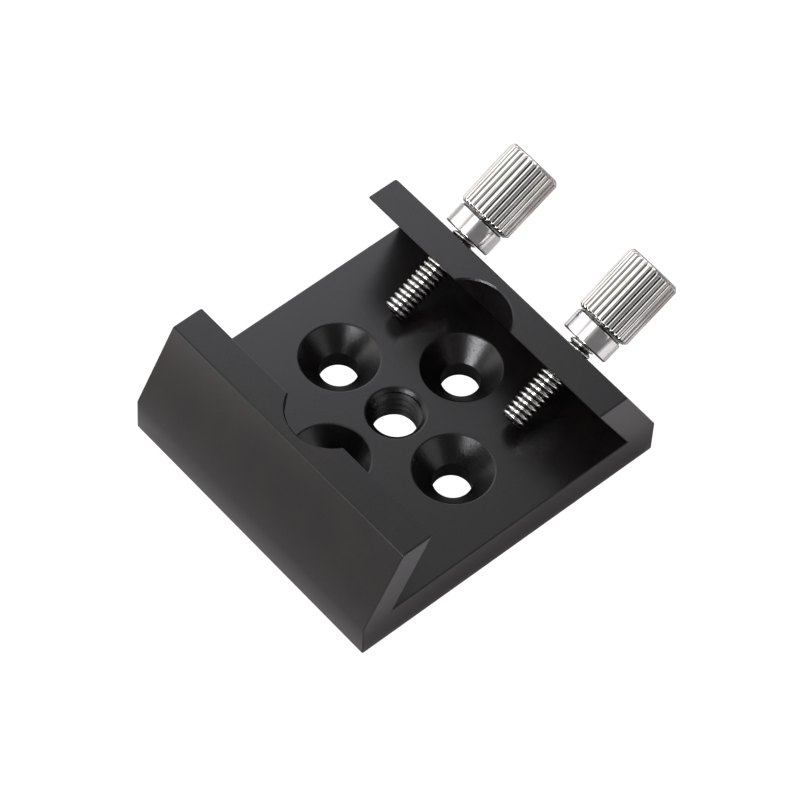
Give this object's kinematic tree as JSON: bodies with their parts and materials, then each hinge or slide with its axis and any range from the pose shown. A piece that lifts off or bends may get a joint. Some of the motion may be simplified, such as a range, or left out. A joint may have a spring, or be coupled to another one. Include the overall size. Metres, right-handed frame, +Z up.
{
  "type": "dovetail clamp",
  "caption": "Black aluminium dovetail clamp: a slotted base with undercut rails, a tapped centre hole, countersunk bolt holes and slanting knurled thumbscrews that grip a bar.",
  "frame": {"origin": "axis of the tapped centre hole, on the underside of the base plate", "axes": "+X along the rails and the slot, +Y towards the rail that carries the thumbscrews, +Z up out of the slot"},
  "size_m": [0.06, 0.0799, 0.0313],
  "materials": {
    "black_anodised": "fine-blasted, satin black anodised",
    "bright_steel": "turned bright, knurled head, rolled thread"
  },
  "bodies": {
    "clamp": {"clamp_body": "black_anodised"},
    "left_screw_travel": {"left_collar": "bright_steel"},
    "left_screw": {"left_knurled_head": "bright_steel", "left_stud": "bright_steel"},
    "right_screw_travel": {"right_collar": "bright_steel"},
    "right_screw": {"right_knurled_head": "bright_steel", "right_stud": "bright_steel"}
  },
  "joints": [
    {"name": "left_travel", "type": "slide", "parent": "clamp", "child": "left_screw_travel", "axis": [0, 0.8829, 0.4695], "range_m": [-0.0004, 0.0114]},
    {"name": "left_turn", "type": "hinge", "parent": "left_screw_travel", "child": "left_screw", "pos_m": [-0.015, 0.02837, 0.01812], "axis": [0, 0.8829, 0.4695], "range_deg": [-136, 3877]},
    {"name": "right_travel", "type": "slide", "parent": "clamp", "child": "right_screw_travel", "axis": [0, 0.8829, 0.4695], "range_m": [-0.001, 0.0108]},
    {"name": "right_turn", "type": "hinge", "parent": "right_screw_travel", "child": "right_screw", "pos_m": [0.015, 0.0289, 0.0184], "axis": [0, 0.8829, 0.4695], "range_deg": [-340, 3673]}
  ],
  "couplings": [
    {"joint": "left_travel", "follows": "left_turn", "m_per_rad": 0.00016844},
    {"joint": "right_travel", "follows": "right_turn", "m_per_rad": 0.00016844}
  ]
}
